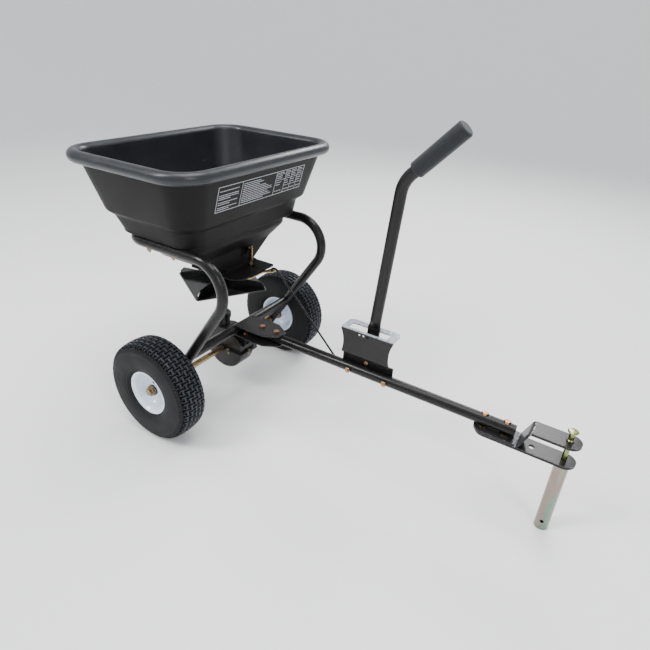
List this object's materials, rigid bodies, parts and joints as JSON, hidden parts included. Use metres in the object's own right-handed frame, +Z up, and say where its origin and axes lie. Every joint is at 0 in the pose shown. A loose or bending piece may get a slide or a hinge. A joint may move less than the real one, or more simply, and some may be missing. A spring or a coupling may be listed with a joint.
{
  "type": "tow-behind broadcast spreader",
  "caption": "Tow-behind garden spreader: plastic hopper on a bent tube frame, driven impeller, two pneumatic wheels, drawbar with clevis hitch, stand and flow lever.",
  "frame": {"origin": "on the ground under the middle of the whole object", "axes": "+X towards the hitch, +Y to the left (driven) wheel, +Z up"},
  "size_m": [1.1511, 0.6008, 0.7945],
  "materials": {
    "hopper": "moulded black plastic, satin, glossier along the rolled rim",
    "frame_paint": "black semi-gloss powder coat",
    "gearbox": "black moulded plastic",
    "impeller": "dark moulded plastic",
    "gear": "natural nylon",
    "bush": "black nylon",
    "rim": "light grey gloss paint",
    "tyre": "black rubber, turf tread",
    "stem": "black rubber",
    "zinc": "yellow zinc plating",
    "bolt": "copper-tinted zinc plating",
    "grip": "soft dark grip"
  },
  "bodies": {
    "frame": {"hopper": "hopper", "base_plate": "hopper", "flow_arm_bracket": "hopper", "side_tube_left": "frame_paint", "side_tube_right": "frame_paint", "rear_tube": "frame_paint", "cross_tube": "frame_paint", "drawbar": "frame_paint", "gusset_top": "frame_paint", "gusset_bottom": "frame_paint", "hitch_tongue_lower": "frame_paint", "hitch_tongue_upper": "frame_paint", "lever_bracket": "frame_paint", "shutter_guides": "frame_paint", "gearbox_upper": "gearbox", "gearbox_lower": "gearbox", "shaft_bearing_cap": "gearbox", "frame_axle_bushes": "bush", "gearbox_axle_bushes": "bush", "flow_arm_pivot": "zinc", "hitch_spacers": "zinc", "gusset_nuts": "zinc", "hitch_nuts": "zinc", "bracket_nuts": "zinc", "hopper_nuts": "zinc", "lever_pivot_nut": "zinc", "gearbox_screws": "zinc", "base_plate_screws": "zinc", "gusset_bolts": "bolt", "hitch_bolts": "bolt", "bracket_bolts": "bolt", "hopper_bolts": "bolt", "lever_pivot_bolt": "bolt"},
    "axle_drive": {"axle": "zinc", "crown_gear": "gear", "crown_gear_pin": "zinc", "axle_washers": "zinc", "axle_cotters": "zinc", "axle_nuts": "zinc", "wheel_drive_pin": "zinc", "tyre_left": "tyre", "rim_left": "rim", "hub_bushes_left": "bush", "valve_stem_left": "stem"},
    "free_wheel": {"tyre_right": "tyre", "rim_right": "rim", "hub_bushes_right": "bush", "valve_stem_right": "stem"},
    "impeller_shaft": {"drive_shaft": "zinc", "pinion": "gear", "impeller": "impeller", "impeller_pin": "zinc", "agitator": "impeller"},
    "lever": {"lever_tube": "frame_paint", "lever_grip": "grip"},
    "shutter": {"shutter_plate": "zinc", "control_rod": "frame_paint"},
    "flow_arm": {"flow_arm": "zinc"},
    "hitch_pin": {"hitch_pin": "zinc"},
    "stand": {"stand_tube": "zinc"}
  },
  "joints": [
    {"name": "axle_spin", "type": "hinge", "parent": "frame", "child": "axle_drive", "pos_m": [-0.33395, 0, 0.13], "axis": [0, 1, 0], "continuous": true},
    {"name": "free_wheel_spin", "type": "hinge", "parent": "frame", "child": "free_wheel", "pos_m": [-0.33395, -0.2592, 0.13], "axis": [0, 1, 0], "continuous": true},
    {"name": "impeller_spin", "type": "hinge", "parent": "frame", "child": "impeller_shaft", "pos_m": [-0.35195, 0, 0.317], "axis": [0, 0, 1], "continuous": true},
    {"name": "lever_swing", "type": "hinge", "parent": "frame", "child": "lever", "pos_m": [0.09155, 0.0181, 0.2285], "axis": [0, 1, 0], "range_deg": [-23, 15]},
    {"name": "shutter_slide", "type": "slide", "parent": "frame", "child": "shutter", "axis": [1, 0, 0], "range_m": [-0.0074, 0.0113]},
    {"name": "flow_arm_swing", "type": "hinge", "parent": "frame", "child": "flow_arm", "pos_m": [-0.27195, 0.024, 0.428], "axis": [0, 1, 0], "range_deg": [-11.5, 7.6]},
    {"name": "hitch_pin_slide", "type": "slide", "parent": "frame", "child": "hitch_pin", "axis": [0, 0, 1], "range_m": [0, 0.065]},
    {"name": "stand_turn", "type": "hinge", "parent": "frame", "child": "stand", "pos_m": [0.55205, 0, 0.09], "axis": [0, 0, 1], "range_deg": [-180, 180]}
  ],
  "couplings": [
    {"joint": "impeller_spin", "follows": "axle_spin", "ratio": -5},
    {"joint": "shutter_slide", "follows": "lever_swing", "m_per_rad": -0.028},
    {"joint": "flow_arm_swing", "follows": "lever_swing", "ratio": 0.493}
  ]
}
